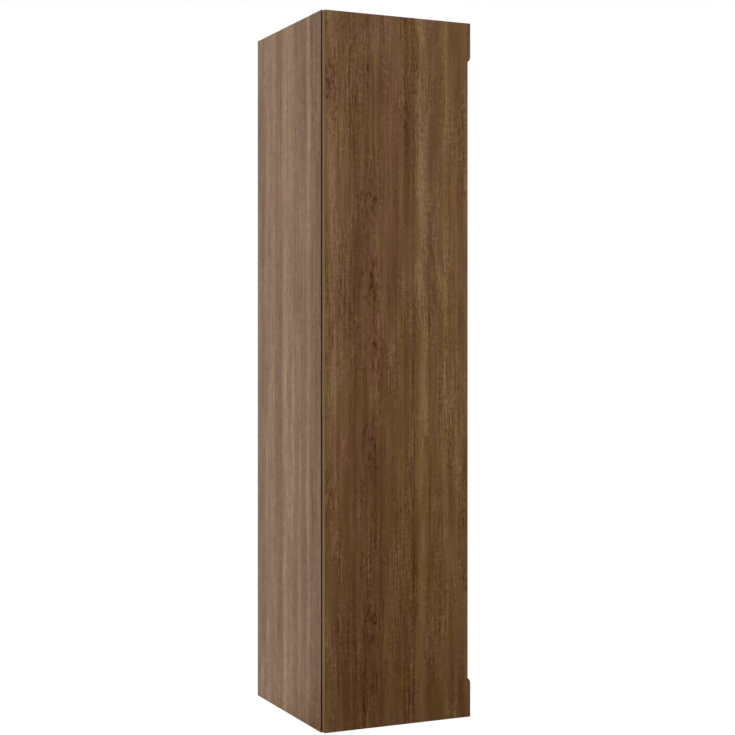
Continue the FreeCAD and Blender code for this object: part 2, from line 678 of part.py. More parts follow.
def hinge_pin(height):
    """The pin that the neck turns on, held in the cup's walls."""
    return rod(V(X_PIVOT, Y_PIVOT, height - PIVOT_LENGTH / 2), UP, PIVOT_RADIUS, PIVOT_LENGTH)


def hinge_spring(height):
    """A leaf spring on the floor of the cup's pocket."""
    xs = (X_PIVOT + SPRING_FROM_PIVOT, X_POCKET[1] - SPRING_END_PLAY)
    return block(xs, (Y_POCKET_FLOOR, Y_POCKET_FLOOR + SPRING_THICKNESS), about(height, SPRING_WIDTH))


def cup_screws(height):
    """The two screws that hold a cup to the door."""
    seat_y = Y_DOOR_BACK + CUP_FLANGE_THICKNESS
    return [screw(V(X_CUP_SCREW, seat_y, z), FORWARD, CUP_SCREW_RADIUS, CUP_SCREW_LENGTH,
                  CUP_SCREW_HEAD_RADIUS, CUP_SCREW_HEAD_HEIGHT) for z in about(height, CUP_SCREW_SPACING)]


def arm_neck(height):
    """The neck: from the arm forwards, round a bend, and across to the eye on the pin."""
    half = NECK_THICKNESS / 2
    z = height - NECK_WIDTH / 2
    x_run = X_ARM_TOP - half
    x_bend = x_run - NECK_BEND
    y_bend = Y_PIVOT + NECK_BEND
    root = Y_ARM + NECK_SHOULDER
    slant = math.sqrt(0.5)

    def arc(radius):
        start = V(x_bend, y_bend - radius, z)
        middle = V(x_bend + radius * slant, y_bend - radius * slant, z)
        return start, middle, V(x_bend + radius, y_bend, z)

    outer = arc(NECK_BEND + half)
    inner = arc(NECK_BEND - half)
    eye_outer = V(X_PIVOT, Y_PIVOT - half, z)
    eye_inner = V(X_PIVOT, Y_PIVOT + half, z)
    root_outer = V(x_run + half, root, z)
    root_inner = V(x_run - half, root, z)
    outline = Part.Wire([
        Part.makeLine(eye_outer, outer[0]),
        Part.Arc(*outer).toShape(),
        Part.makeLine(outer[2], root_outer),
        Part.makeLine(root_outer, root_inner),
        Part.makeLine(root_inner, inner[2]),
        Part.Arc(*inner).toShape(),
        Part.makeLine(inner[0], eye_inner),
        Part.makeLine(eye_inner, eye_outer),
    ])
    return Part.Face(outline).extrude(UP * NECK_WIDTH)


def hinge_arm(height):
    """The arm: a channel over the plate's pedestal, tapering into the neck with its eye."""
    ys = (Y_ARM, Y_ARM + ARM_LENGTH)
    web = block((X_PLATE_TOP, X_ARM_TOP), ys, about(height, ARM_WIDTH))
    cheek_xs = (X_PLATE_TOP - ARM_DEPTH, X_PLATE_TOP)
    cheeks = []
    for side in (-1, 1):
        outer = height + side * ARM_WIDTH / 2
        cheeks.append(block(cheek_xs, ys, (outer, outer - side * ARM_WALL)))
    shoulder = prism([
        V(X_PLATE_TOP, Y_ARM, height - ARM_WIDTH / 2),
        V(X_PLATE_TOP, Y_ARM, height + ARM_WIDTH / 2),
        V(X_PLATE_TOP, Y_ARM - NECK_SHOULDER, height + NECK_WIDTH / 2),
        V(X_PLATE_TOP, Y_ARM - NECK_SHOULDER, height - NECK_WIDTH / 2),
    ], RIGHT * ARM_WALL)
    eye = rod(V(X_PIVOT, Y_PIVOT, height - NECK_WIDTH / 2), UP, EYE_RADIUS, NECK_WIDTH)
    body = fuse(web, *cheeks, shoulder, arm_neck(height), eye)
    tools = [rod(V(X_PIVOT, Y_PIVOT, height - NECK_WIDTH), UP, PIVOT_RADIUS + PIVOT_PLAY, 2 * NECK_WIDTH)]
    for y in about(Y_PLATE, ARM_SCREW_SPACING):
        tools.append(hole(V(X_ARM_TOP, y, height), LEFT, ARM_SCREW_RADIUS + FIT, ARM_WALL + OVERRUN))
    return cut(body, tools)


def hinge_plate(height):
    """The plate screwed to the side panel, with the pedestal that carries the arm."""
    wing_ys = about(Y_PLATE, PLATE_WING_WIDTH)
    wing_top = -X_IN + PLATE_THICKNESS
    wings = rounded_plate((-X_IN, wing_top), wing_ys, about(height, PLATE_WING_SPAN), PLATE_WING_CORNER)
    width = ARM_WIDTH - 2 * (ARM_WALL + PEDESTAL_PLAY)
    pedestal = block((-X_IN, X_PLATE_TOP), about(Y_PLATE, PLATE_LENGTH), about(height, width))
    tools = []
    for y in about(Y_PLATE, ARM_SCREW_SPACING):
        mouth = V(X_PLATE_TOP, y, height)
        tools.append(hole(mouth, LEFT, ARM_SCREW_RADIUS + FIT, ARM_SCREW_DEPTH + BLIND_END_PLAY))
    for z in about(height, ROW_PITCH):
        mouth = V(wing_top, Y_PLATE, z)
        tools.append(hole(mouth, LEFT, PLATE_SCREW_RADIUS + FIT, PLATE_THICKNESS + OVERRUN))
    return cut(fuse(wings, pedestal), tools)


def plate_screw(y, z):
    """A screw through a hinge plate's wing into the side panel."""
    seat = V(-X_IN + PLATE_THICKNESS, y, z)
    return screw(seat, LEFT, PLATE_SCREW_RADIUS, PLATE_THICKNESS + PLATE_SCREW_DEPTH,
                 PLATE_SCREW_HEAD_RADIUS, PLATE_SCREW_HEAD_HEIGHT)


def arm_screws(height):
    """The two screws that hold an arm to its plate and adjust it."""
    return [screw(V(X_ARM_TOP, y, height), LEFT, ARM_SCREW_RADIUS, ARM_WALL + ARM_SCREW_DEPTH,
                  ARM_SCREW_HEAD_RADIUS, ARM_SCREW_HEAD_HEIGHT)
            for y in about(Y_PLATE, ARM_SCREW_SPACING)]


def every_part():
    """All the pieces by name."""
    parts = {}
    for name, side in SIDES.items():
        parts[name + "_side_panel"] = side_panel(side)
        band_xs = (side * X_IN, side * X_OUT)
        parts[name + "_side_edge_band"] = front_band(band_xs, Y_BOARD, (0, CARCASS_HEIGHT))
        parts[name + "_hanger_housing"] = hanger_housing(side)
        parts[name + "_hanger_hook"] = hanger_hook(side)
        parts[name + "_wall_plate"] = wall_plate(side)
    parts["top_panel"] = end_board(Z_TOP_BOARD, 1)
    parts["bottom_panel"] = end_board(0, -1)
    parts["top_edge_band"] = front_band((-X_IN, X_IN), Y_BOARD, (Z_TOP_BOARD, CARCASS_HEIGHT))
    parts["bottom_edge_band"] = front_band((-X_IN, X_IN), Y_BOARD, (0, BOARD))
    parts["back_panel"] = back_panel()
    parts["wall_rail"] = wall_rail()
    for index, name in enumerate(SHELF_NAMES):
        parts[name + "_shelf"] = shelf_board(index)
        parts[name + "_shelf_edge_band"] = shelf_band(index)
    parts["shelf_pins"] = group([
        shelf_pin(side, y, SHELF_HEIGHTS[i])
        for side in SIDES.values() for y in ROW_PLACES for i in range(SHELF_COUNT) if i != FIXED_SHELF
    ])
    parts["dowels"] = group([dowel(*place) for place in dowel_places()])
    parts["cam_locks"] = group([cam_lock(*place) for place in cam_places()])
    parts["cam_bolts"] = group([cam_bolt(*place[:3]) for place in cam_places()])
    parts["hanger_adjusting_screws"] = group([
        adjuster(side, rise) for side in SIDES.values() for rise in ADJUSTER_RISES
    ])
    parts["hanger_fixing_screws"] = group([
        hanger_screw(side, *place) for side in SIDES.values() for place in hanger_screw_places()
    ])
    parts["door_panel"] = door_panel()
    parts["door_bumpers"] = group([
        door_bumper(z) for z in (DOOR_BOTTOM + BUMPER_FROM_END, DOOR_TOP - BUMPER_FROM_END)
    ])
    for name, height in zip(HINGE_NAMES, HINGE_HEIGHTS):
        parts[name + "_hinge_plate"] = hinge_plate(height)
        parts[name + "_hinge_arm"] = hinge_arm(height)
        parts[name + "_hinge_cup"] = hinge_cup(height)
        parts[name + "_hinge_pin"] = hinge_pin(height)
    parts["hinge_springs"] = group([hinge_spring(height) for height in HINGE_HEIGHTS])
    parts["hinge_cup_screws"] = group([s for height in HINGE_HEIGHTS for s in cup_screws(height)])
    parts["hinge_plate_screws"] = group([plate_screw(*yz) for yz in plate_screw_places()])
    parts["hinge_arm_screws"] = group([s for height in HINGE_HEIGHTS for s in arm_screws(height)])
    return parts


def main():
    os.makedirs("parts", exist_ok=True)
    for name, shape in every_part().items():
        shape.exportStep("parts/" + name + ".step")


if __name__ == "__main__":
    main()
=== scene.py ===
import bpy
import math
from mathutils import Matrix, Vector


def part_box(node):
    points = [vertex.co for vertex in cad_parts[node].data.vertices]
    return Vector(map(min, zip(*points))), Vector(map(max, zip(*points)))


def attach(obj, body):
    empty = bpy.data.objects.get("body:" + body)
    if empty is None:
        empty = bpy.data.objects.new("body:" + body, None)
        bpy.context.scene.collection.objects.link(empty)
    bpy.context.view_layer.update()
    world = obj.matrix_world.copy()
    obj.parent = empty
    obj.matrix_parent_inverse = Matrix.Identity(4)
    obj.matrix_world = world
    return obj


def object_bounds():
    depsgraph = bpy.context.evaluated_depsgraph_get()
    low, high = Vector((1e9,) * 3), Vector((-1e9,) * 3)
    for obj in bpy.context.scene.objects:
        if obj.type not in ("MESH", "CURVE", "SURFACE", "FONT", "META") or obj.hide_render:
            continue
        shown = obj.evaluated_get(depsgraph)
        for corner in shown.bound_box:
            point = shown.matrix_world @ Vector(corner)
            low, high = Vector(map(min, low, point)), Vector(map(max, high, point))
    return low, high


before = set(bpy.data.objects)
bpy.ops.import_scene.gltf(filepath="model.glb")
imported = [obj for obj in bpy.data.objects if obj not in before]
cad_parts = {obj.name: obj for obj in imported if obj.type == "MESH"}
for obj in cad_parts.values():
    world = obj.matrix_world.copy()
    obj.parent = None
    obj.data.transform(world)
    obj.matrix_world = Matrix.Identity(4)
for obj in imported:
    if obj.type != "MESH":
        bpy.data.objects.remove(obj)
cad_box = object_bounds()

# Side panels: two upright chipboards faced with walnut-print melamine, grain upright.
# The print goes over the two faces and the banded top and bottom ends. The rear edge, which the
# wall hides, is left as sawn, so the chips show there.


def linear(hex_colour):
    """An sRGB hex colour as linear red, green, blue and alpha."""
    parts = [int(hex_colour[i:i + 2], 16) / 255 for i in (1, 3, 5)]
    return [p / 12.92 if p <= 0.04045 else ((p + 0.055) / 1.055) ** 2.4 for p in parts] + [1.0]


def add(tree, kind, settings, inputs):
    """Adds a node with its settings. Each input takes a value, a socket, or a node's first output."""
    node = tree.nodes.new(kind)
    for name, value in settings.items():
        if name == "stops":
            elements = node.color_ramp.elements
            for share, colour in value[1:-1]:
                elements.new(share).color = colour
            elements[0].position, elements[0].color = value[0]
            elements[-1].position, elements[-1].color = value[-1]
        else:
            setattr(node, name, value)
    for key, value in inputs.items():
        if isinstance(value, bpy.types.Node):
            value = value.outputs[0]
        if isinstance(value, bpy.types.NodeSocket):
            tree.links.new(value, node.inputs[key])
        else:
            node.inputs[key].default_value = value
    return node


def new_material(name):
    """An empty material, the tree to build it in, and the coordinates of its piece."""
    material = bpy.data.materials.new(name)
    material.use_nodes = True
    tree = material.node_tree
    tree.nodes.clear()
    return material, tree, add(tree, "ShaderNodeTexCoord", {}, {}).outputs


def surface(tree, inputs):
    """The shader of a material, linked to its output."""
    shader = add(tree, "ShaderNodeBsdfPrincipled", {}, inputs)
    add(tree, "ShaderNodeOutputMaterial", {}, {"Surface": shader})


MM = 0.001


def streaks(tree, vector, across_mm, along_mm, detail, roughness=0.55):
    """Noise drawn out along the grain: about as wide and as long as the two sizes."""
    scale = (1 / (across_mm * MM), 1 / (across_mm * MM), 1 / (along_mm * MM))
    drawn_out = add(tree, "ShaderNodeMapping", {}, {"Vector": vector, "Scale": scale})
    return add(tree, "ShaderNodeTexNoise", {},
               {"Vector": drawn_out, "Scale": 1.0, "Detail": detail, "Roughness": roughness})


def lay(tree, board, layers, middle, coarse=1.0, strength=1.0):
    """Layers of streaks added up around a middle value, and the last layer by itself."""
    total = middle - strength * sum(weight for *_, weight in layers) / 2
    for across_mm, along_mm, detail, weight in layers:
        layer = streaks(tree, board, coarse * across_mm, coarse * along_mm, detail)
        total = add(tree, "ShaderNodeMath", {"operation": "MULTIPLY_ADD"},
                    {0: layer, 1: strength * weight, 2: total})
    return total, layer


# Tones of the print from dark to light, in red heartwood and in olive sapwood
TONE_SHARES = (0.00, 0.30, 0.52, 0.75, 1.00)
HEARTWOOD = ("#4B2814", "#5C381F", "#68432B", "#755136", "#866547")
SAPWOOD = ("#492D0D", "#5A3D17", "#664822", "#73562C", "#856A3D")
MIDDLE_TONE = 0.52
# Width across the grain and length along it in millimetres, detail, and weight: the broad figure of
# the board, the grain that lies on it, and the hues, which turn from heartwood to sapwood
WALNUT_FIGURE = [
    (38.0, 3000.0, 1.0, 0.35),
    (11.0, 3000.0, 1.0, 0.50),
    (24.0, 190.0, 1.0, 0.60),
    (5.0, 3000.0, 1.0, 0.24),
]
WALNUT_GRAIN = [
    (14.0, 8.0, 1.0, 0.30),
    (4.5, 120.0, 1.0, 0.50),
    (2.2, 34.0, 1.0, 0.55),
    (2.0, 8.0, 2.0, 0.80),
]
WALNUT_HUES = [
    (15.0, 150.0, 1.0, 2.2),
    (22.0, 2200.0, 1.0, 2.0),
]
# The grain is calm in patches where the noise is low, and strong where it is high
PATCH_WIDTH_MM, PATCH_LENGTH_MM = 30.0, 150.0
PATCH_LOW, PATCH_HIGH = 0.38, 0.62
PATCH_CALM_SHARE, PATCH_STRONG_SHARE = 0.60, 0.55
# The grain sways from side to side as it runs along the board
SWAY_WIDTH_MM, SWAY_LENGTH_MM = 140.0, 260.0
SWAY = (7.0 * MM, 7.0 * MM, 0.0)
# Around a knot, short dark strokes and its rings darken the print, and its hue turns to heartwood.
# A stroke begins at the low value of the noise, and is full at the high one.
STROKE_WIDTH_MM, STROKE_LENGTH_MM = 6.0, 26.0
STROKE_LOW, STROKE_HIGH = 0.48, 0.66
STROKE_DARKNESS, RING_DARKNESS, KNOT_REDNESS = 0.35, 0.60, 0.2


def walnut_print(tree, coordinates, turn, shift, bands=None, band_places=None, knots=None, coarse=1.0,
                 lively=1.0):
    """Walnut decor: figure, patchy grain and hues, with bands of tone and knots where they are given."""
    board = add(tree, "ShaderNodeMapping", {},
                {"Vector": coordinates["Object"], "Rotation": turn, "Location": shift})
    if knots:
        board, near, rings = knots(tree, board)
    sway = streaks(tree, board, SWAY_WIDTH_MM, SWAY_LENGTH_MM, 2.0, roughness=0.5)
    sway = add(tree, "ShaderNodeVectorMath", {"operation": "SUBTRACT"},
               {0: sway.outputs["Color"], 1: (0.5, 0.5, 0.5)})
    board = add(tree, "ShaderNodeVectorMath", {"operation": "MULTIPLY_ADD"}, {0: sway, 1: SWAY, 2: board})

    figure, _ = lay(tree, board, WALNUT_FIGURE, MIDDLE_TONE, coarse)
    grain, pores = lay(tree, board, WALNUT_GRAIN, 0.0, coarse)
    patches = add(tree, "ShaderNodeMapRange", {},
                  {"Value": streaks(tree, board, PATCH_WIDTH_MM, PATCH_LENGTH_MM, 1.0),
                   "From Min": PATCH_LOW, "From Max": PATCH_HIGH,
                   "To Min": 1 - PATCH_CALM_SHARE * lively, "To Max": 1 + PATCH_STRONG_SHARE * lively})
    tone = add(tree, "ShaderNodeMath", {"operation": "MULTIPLY_ADD"}, {0: grain, 1: patches, 2: figure})
    hue, _ = lay(tree, board, WALNUT_HUES, 0.5, coarse, lively)

    if bands:
        across = add(tree, "ShaderNodeSeparateXYZ", {}, {"Vector": board}).outputs["X"]
        share = add(tree, "ShaderNodeMapRange", {},
                    {"Value": across, "From Min": band_places[0], "From Max": band_places[1]})
        stops = [(place, (level, level, level, 1.0)) for place, level in bands]
        level = add(tree, "ShaderNodeValToRGB", {"stops": stops}, {"Fac": share})
        level.color_ramp.interpolation = "EASE"
        lift = add(tree, "ShaderNodeMath", {"operation": "SUBTRACT"}, {0: level, 1: 0.5})
        tone = add(tree, "ShaderNodeMath", {"operation": "ADD"}, {0: tone, 1: lift})
    if knots:
        strokes = add(tree, "ShaderNodeMapRange", {},
                      {"Value": streaks(tree, board, STROKE_WIDTH_MM, STROKE_LENGTH_MM, 2.0),
                       "From Min": STROKE_LOW, "From Max": STROKE_HIGH})
        strokes = add(tree, "ShaderNodeMath", {"operation": "MULTIPLY"}, {0: strokes, 1: near})
        tone = add(tree, "ShaderNodeMath", {"operation": "MULTIPLY_ADD"},
                   {0: rings, 1: -RING_DARKNESS, 2: tone})
        tone = add(tree, "ShaderNodeMath", {"operation": "MULTIPLY_ADD"},
                   {0: strokes, 1: -STROKE_DARKNESS, 2: tone})
        hue = add(tree, "ShaderNodeMath", {"operation": "ADD"}, {0: hue, 1: lift})
        hue = add(tree, "ShaderNodeMath", {"operation": "MULTIPLY_ADD"},
                  {0: near, 1: -KNOT_REDNESS, 2: hue})

    woods = []
    for colours in (HEARTWOOD, SAPWOOD):
        stops = list(zip(TONE_SHARES, map(linear, colours)))
        woods.append(add(tree, "ShaderNodeValToRGB", {"stops": stops}, {"Fac": tone}))
    colour = add(tree, "ShaderNodeMix", {"data_type": "RGBA"}, {0: hue, 6: woods[0], 7: woods[1]})
    return colour.outputs[2], tone, pores


# The pressed surface: how matt it is, how much the pores and the tone change that, and the share of
# the gloss that an edge keeps
MELAMINE_IOR = 1.36
MELAMINE_ROUGHNESS, PORE_ROUGHNESS = 0.36, 0.12
MIDDLE_GLOSS, GLOSS_BY_TONE, EDGE_GLOSS_SHARE = 0.5, 0.6, 0.45
PORE_DEPTH, PORE_STRENGTH = 0.2 * MM, 0.12


def finish_melamine(tree, colour, tone, pores, printed):
    """A satin surface: low gloss, least on the dark grain and the edges, with the pores just felt."""
    bump = add(tree, "ShaderNodeBump", {},
               {"Height": pores, "Strength": PORE_STRENGTH, "Distance": PORE_DEPTH})
    roughness = add(tree, "ShaderNodeMath", {"operation": "MULTIPLY_ADD"},
                    {0: pores, 1: PORE_ROUGHNESS, 2: MELAMINE_ROUGHNESS})
    gloss = add(tree, "ShaderNodeMath", {"operation": "MULTIPLY_ADD"},
                {0: tone, 1: GLOSS_BY_TONE, 2: MIDDLE_GLOSS - GLOSS_BY_TONE * MIDDLE_TONE})
    share = add(tree, "ShaderNodeMath", {"operation": "MULTIPLY_ADD"},
                {0: printed, 1: 1 - EDGE_GLOSS_SHARE, 2: EDGE_GLOSS_SHARE})
    gloss = add(tree, "ShaderNodeMath", {"operation": "MULTIPLY"}, {0: gloss, 1: share})
    surface(tree, {"Base Color": colour, "IOR": MELAMINE_IOR, "Roughness": roughness,
                   "Specular IOR Level": gloss, "Normal": bump})


CHIP_MM = 2.5


def sawn_chipboard(tree, coordinates):
    """The sawn core: pale and darker wood chips of a few millimetres, pressed in glue."""
    scale = (1 / (CHIP_MM * MM),) * 3
    chips = add(tree, "ShaderNodeMapping", {}, {"Vector": coordinates["Object"], "Scale": scale})
    chips = add(tree, "ShaderNodeTexVoronoi", {}, {"Vector": chips, "Scale": 1.0})
    tone = add(tree, "ShaderNodeSeparateXYZ", {}, {"Vector": chips.outputs["Color"]})
    stops = [(0.0, linear("#6F4D2C")), (0.35, linear("#A37F53")), (1.0, linear("#C6A678"))]
    return add(tree, "ShaderNodeValToRGB", {"stops": stops}, {"Fac": tone})


# A face looks along an axis where its normal has more than this share of it
FACING_SHARE = 0.9


def faced_board(name, turn, shift, faced, edge, **pattern):
    """A board with the walnut print on the faces along the faced axes, and its edge on the others."""
    material, tree, coordinates = new_material(name)
    colour, tone, pores = walnut_print(tree, coordinates, turn, shift, **pattern)
    normal = add(tree, "ShaderNodeVectorMath", {"operation": "ABSOLUTE"}, {0: coordinates["Normal"]})
    along = add(tree, "ShaderNodeVectorMath", {"operation": "DOT_PRODUCT"}, {0: normal, 1: faced})
    printed = add(tree, "ShaderNodeMath", {"operation": "GREATER_THAN"},
                  {0: along.outputs["Value"], 1: FACING_SHARE})
    mix = add(tree, "ShaderNodeMix", {"data_type": "RGBA"},
              {0: printed, 6: edge(tree, coordinates), 7: colour})
    finish_melamine(tree, mix.outputs[2], tone, pores, printed)
    return material


def dress(material, *names):
    """Gives CAD nodes a material."""
    for name in names:
        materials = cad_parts[name].data.materials
        materials.clear()
        materials.append(material)


UPRIGHT_SIDEWAYS = (0.0, 0.0, -math.pi / 2)
SIDE_PLACES = (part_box("left_side_panel")[0].y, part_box("left_side_panel")[1].y)
# Tone of the print at shares of the way from the front edge to the rear
SIDE_BANDS = [
    (0.00, 0.40), (0.11, 0.31), (0.19, 0.72), (0.23, 0.39), (0.32, 0.51), (0.38, 0.48), (0.53, 0.74),
    (0.63, 0.38), (0.79, 0.65), (0.88, 0.49), (1.00, 0.52),
]
# The board that the sides are cut from has a coarser and calmer figure than the door's
SIDE_COARSENESS, SIDE_LIVELINESS = 1.5, 0.5
# Where on the printed sheet each side is cut, in metres
SIDE_CUTS = {"left": (0.0, 0.0, 0.0), "right": (0.0, 0.9, 2.3)}
for side, cut in SIDE_CUTS.items():
    dress(faced_board("walnut_melamine_" + side + "_side", UPRIGHT_SIDEWAYS, cut, (1.0, 0.0, 1.0),
                      sawn_chipboard, bands=SIDE_BANDS, band_places=SIDE_PLACES, coarse=SIDE_COARSENESS,
                      lively=SIDE_LIVELINESS),
          side + "_side_panel")

# Edge bands: thin ABS strips in walnut, hot-glued on the front edges and trimmed flush; the carcass's
# darker tones are painted shade for the gap behind the door.
# They run along their edge, so the grain does too.

UPRIGHT = (0.0, 0.0, 0.0)
LYING = (-math.pi / 2, -math.pi / 2, 0.0)
LEVEL_BOARDS = ("top_panel", "bottom_panel", "lower_shelf", "lower_middle_shelf", "fixed_shelf",
                "upper_middle_shelf", "upper_shelf")
# The carcass's front edge bands are darker than the door's edges: painted shade for the gap behind the
# door, where they show
GAP_SHADE_TONES = ("#4C2D14", "#603E21")
DOOR_EDGE_TONES = ("#5A3A19", "#6E4D29")
# Painted shade: a dark line on every rounded arris of the edge bands
ARRIS_SHADE = "#4A2D12"
BAND_STREAK_WIDTH_MM, BAND_STREAK_LENGTH_MM = 2.0, 120.0
# A face whose normal has less than this share along every axis is a rounded arris
FLAT_SHARE = 0.97


def walnut_edging(tree, coordinates, turn=UPRIGHT, tones=DOOR_EDGE_TONES):
    """The print of an edge band: fine streaks along the edge, and painted shade as a dark line on a rounded
    arris.
    """
    strip = add(tree, "ShaderNodeMapping", {}, {"Vector": coordinates["Object"], "Rotation": turn})
    fine = streaks(tree, strip, BAND_STREAK_WIDTH_MM, BAND_STREAK_LENGTH_MM, 3.0)
    stops = [(0.35, linear(tones[0])), (0.65, linear(tones[1]))]
    band = add(tree, "ShaderNodeValToRGB", {"stops": stops}, {"Fac": fine})
    normal = add(tree, "ShaderNodeVectorMath", {"operation": "ABSOLUTE"}, {0: coordinates["Normal"]})
    axes = add(tree, "ShaderNodeSeparateXYZ", {}, {"Vector": normal}).outputs
    largest = add(tree, "ShaderNodeMath", {"operation": "MAXIMUM"}, {0: axes["X"], 1: axes["Y"]})
    largest = add(tree, "ShaderNodeMath", {"operation": "MAXIMUM"}, {0: largest, 1: axes["Z"]})
    rounded = add(tree, "ShaderNodeMath", {"operation": "LESS_THAN"}, {0: largest, 1: FLAT_SHARE})
    # Rounded arrises take the painted shade colour
    mix = add(tree, "ShaderNodeMix", {"data_type": "RGBA"}, {0: rounded, 6: band, 7: linear(ARRIS_SHADE)})
    return mix.outputs[2]


for name, turn in (("upright", UPRIGHT), ("lying", LYING)):
    material, tree, coordinates = new_material("gap_shaded_walnut_abs_edging_" + name)
    # The carcass's bands take the darker tones, painted shade of the door gap
    colour = walnut_edging(tree, coordinates, turn, GAP_SHADE_TONES)
    surface(tree, {"Base Color": colour, "IOR": 1.26, "Roughness": 0.45})
    if name == "upright":
        dress(material, "left_side_edge_band", "right_side_edge_band")
    else:
        dress(material, *[board.replace("_panel", "") + "_edge_band" for board in LEVEL_BOARDS])

# Top and bottom panels and shelves: the same faced chipboard, lying between the side panels with
# the grain from left to right. Dowels and cams hold the top, the bottom and the fixed shelf.

# Each board is cut this much further across and along the printed sheet, in metres
CUT_ACROSS, CUT_ALONG = 0.31, 0.77
for number, name in enumerate(LEVEL_BOARDS):
    cut = (0.0, CUT_ACROSS * number, CUT_ALONG * number)
    dress(faced_board("walnut_melamine_" + name, LYING, cut, (0.0, 0.0, 1.0), sawn_chipboard), name)

# Dowels: fluted beech pins glued half in each board.
# Beech is pale and pinkish, with short dark rays.

RAY_WIDTH_MM, RAY_LENGTH_MM = 0.8, 3.0
beech, tree, coordinates = new_material("turned_beech")
rays = streaks(tree, coordinates["Object"], RAY_WIDTH_MM, RAY_LENGTH_MM, 1.0)
stops = [(0.35, linear("#B98D62")), (0.60, linear("#D8B48A"))]
colour = add(tree, "ShaderNodeValToRGB", {"stops": stops}, {"Fac": rays})
surface(tree, {"Base Color": colour, "Roughness": 0.6})
dress(beech, "dowels")

# Steel fittings: cam bolts, shelf pins, hinge plates, arms and pins, and every screw.
# Nickel plating is warm and bright, with fine rubbing marks that vary its gloss.

GLOSS_SPREAD = 0.2


def plated_metal(name, dark, light, roughness, marks_mm):
    """A metal whose colour and gloss vary over faint marks of a given size."""
    material, tree, coordinates = new_material(name)
    marks = streaks(tree, coordinates["Object"], marks_mm, marks_mm, 4.0, roughness=0.5)
    stops = [(0.35, linear(dark)), (0.65, linear(light))]
    colour = add(tree, "ShaderNodeValToRGB", {"stops": stops}, {"Fac": marks})
    rubbed = add(tree, "ShaderNodeMath", {"operation": "MULTIPLY_ADD"},
                 {0: marks, 1: GLOSS_SPREAD, 2: roughness - GLOSS_SPREAD / 2})
    surface(tree, {"Base Color": colour, "Metallic": 1.0, "Roughness": rubbed})
    return material


HINGES = ("bottom", "lower", "upper", "top")
nickel = plated_metal("nickel_plated_steel", "#B3ADA2", "#CFCAC0", roughness=0.28, marks_mm=2.0)
dress(nickel, "cam_bolts", "shelf_pins", "hanger_adjusting_screws", "hanger_fixing_screws",
      "hinge_cup_screws", "hinge_plate_screws", "hinge_arm_screws",
      *[hinge + "_hinge_" + piece for hinge in HINGES for piece in ("plate", "arm", "pin")])

# Cam locks and hinge cups: die-cast zinc, bright but a little grainy from the mould.
# The cams are let into the boards and draw them together, and the cups are let into the door's back.

die_cast = plated_metal("die_cast_zinc", "#9C9EA0", "#B7B9BA", roughness=0.42, marks_mm=0.8)
dress(die_cast, "cam_locks", *[hinge + "_hinge_cup" for hinge in HINGES])

# Cam covers: caps over the four cams under the fixed shelf, moulded in walnut-brown ABS with a fine
# grain. Each is a shallow dome with a round pin, which is pressed into the middle of the cam's slot.

CAM_RADIUS = 7.5 * MM
CAP_RADIUS = 8.75 * MM
CAP_HEIGHT = 1.4 * MM
CAP_ROUNDING = 0.9 * MM
CAP_SIDES = 48
ROUNDING_STEPS = 5
PIN_RADIUS = 0.75 * MM
PIN_LENGTH = 2.4 * MM
PIN_TAPER = 0.8
SEAT_PLAY = 0.05 * MM
SMOOTH_ANGLE = math.radians(40.0)
MOULD_GRAIN_DEPTH = 0.1 * MM


def pick(piece, kind, wanted):
    """Selects the edges or faces of a piece that are wanted, and goes on in edit mode."""
    bpy.ops.object.mode_set(mode="EDIT")
    bpy.ops.mesh.select_mode(type=kind)
    bpy.ops.mesh.select_all(action="DESELECT")
    bpy.ops.object.mode_set(mode="OBJECT")
    for item in piece.data.edges if kind == "EDGE" else piece.data.polygons:
        item.select = wanted(item)
    bpy.ops.object.mode_set(mode="EDIT")


def moulded_plastic(name, dark, light, roughness, grain_mm):
    """A plastic with the fine grain of its mould, in two close tones."""
    material, tree, coordinates = new_material(name)
    grain = streaks(tree, coordinates["Object"], grain_mm, grain_mm, 2.0)
    stops = [(0.3, linear(dark)), (0.7, linear(light))]
    colour = add(tree, "ShaderNodeValToRGB", {"stops": stops}, {"Fac": grain})
    bump = add(tree, "ShaderNodeBump", {},
               {"Height": grain, "Strength": 0.2, "Distance": MOULD_GRAIN_DEPTH})
    matt = add(tree, "ShaderNodeMath", {"operation": "MULTIPLY_ADD"}, {0: grain, 1: 0.15, 2: roughness})
    surface(tree, {"Base Color": colour, "IOR": 1.53, "Roughness": matt, "Normal": bump})
    return material


bpy.ops.object.select_all(action="DESELECT")
bpy.ops.mesh.primitive_cylinder_add(vertices=CAP_SIDES, radius=CAP_RADIUS, depth=CAP_HEIGHT,
                                    location=(0.0, 0.0, -CAP_HEIGHT / 2))
cap = bpy.context.object
bpy.ops.object.transform_apply()
heights = [corner.co.z for corner in cap.data.vertices]
pick(cap, "EDGE", lambda edge: max(heights[corner] for corner in edge.vertices) < -CAP_HEIGHT / 2)
bpy.ops.mesh.bevel(offset=CAP_ROUNDING, segments=ROUNDING_STEPS)
bpy.ops.object.mode_set(mode="OBJECT")
pick(cap, "FACE", lambda face: face.normal.z > FACING_SHARE)
bpy.ops.mesh.inset(thickness=CAP_RADIUS - PIN_RADIUS)
bpy.ops.mesh.extrude_region_move(TRANSFORM_OT_translate={"value": (0.0, 0.0, PIN_LENGTH)})
bpy.ops.transform.resize(value=(PIN_TAPER, PIN_TAPER, 1.0))
bpy.ops.object.mode_set(mode="OBJECT")
bpy.ops.object.shade_smooth_by_angle(angle=SMOOTH_ANGLE)
brown_abs = moulded_plastic("moulded_brown_abs", "#4A2E18", "#593A22", roughness=0.40, grain_mm=0.5)
cap.data.materials.append(brown_abs)

